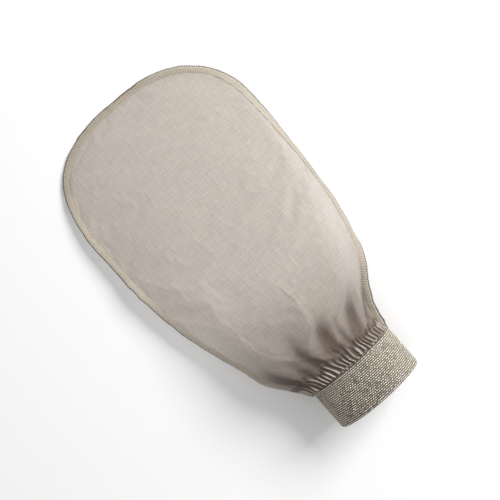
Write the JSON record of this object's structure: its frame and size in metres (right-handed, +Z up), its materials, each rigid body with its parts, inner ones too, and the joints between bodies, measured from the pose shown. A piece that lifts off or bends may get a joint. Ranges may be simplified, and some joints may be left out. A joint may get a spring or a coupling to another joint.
{
  "type": "exfoliating mitt",
  "caption": "Sheer exfoliating mitt: fine mesh panels overlocked round the edge and gathered into a wide woven elastic cuff with metallic yarn.",
  "frame": {"origin": "on the surface the mitt lies on, under the middle of its bounding box", "axes": "+Y from the cuff to the fingertips, +X across the mitt, +Z up, out of the upper panel"},
  "size_m": [0.15, 0.266, 0.046],
  "materials": {
    "sheer_mesh": "fine open plain weave, sheer and slightly crisp",
    "seam_thread": "spun overlock thread",
    "elastic_webbing": "woven elastic, ribbed round the cuff",
    "metallic_yarn": "fine metallic yarn, glittering",
    "rubber_strand": "covered rubber strand"
  },
  "bodies": {
    "mitt": {"palm_panel": "sheer_mesh", "back_panel": "sheer_mesh", "palm_gathers": "sheer_mesh", "back_gathers": "sheer_mesh", "edge_upper_looper_thread": "seam_thread", "edge_lower_looper_thread": "seam_thread", "edge_needle_thread": "seam_thread"},
    "cuff": {"cuff_outer_webbing": "elastic_webbing", "cuff_metallic_yarns": "metallic_yarn", "cuff_rubber_strands": "rubber_strand", "cuff_inner_webbing": "elastic_webbing", "cuff_join_stitches": "seam_thread", "gather_allowance": "sheer_mesh", "allowance_overlock_thread": "seam_thread", "cuff_seam_thread": "seam_thread"}
  },
  "joints": [
    {"name": "wrist_bend", "type": "hinge", "parent": "mitt", "child": "cuff", "pos_m": [0, -0.10297, 0.023], "axis": [-1, 0, 0], "range_deg": [0, 45], "deforming": ["palm_gathers", "back_gathers"]}
  ]
}
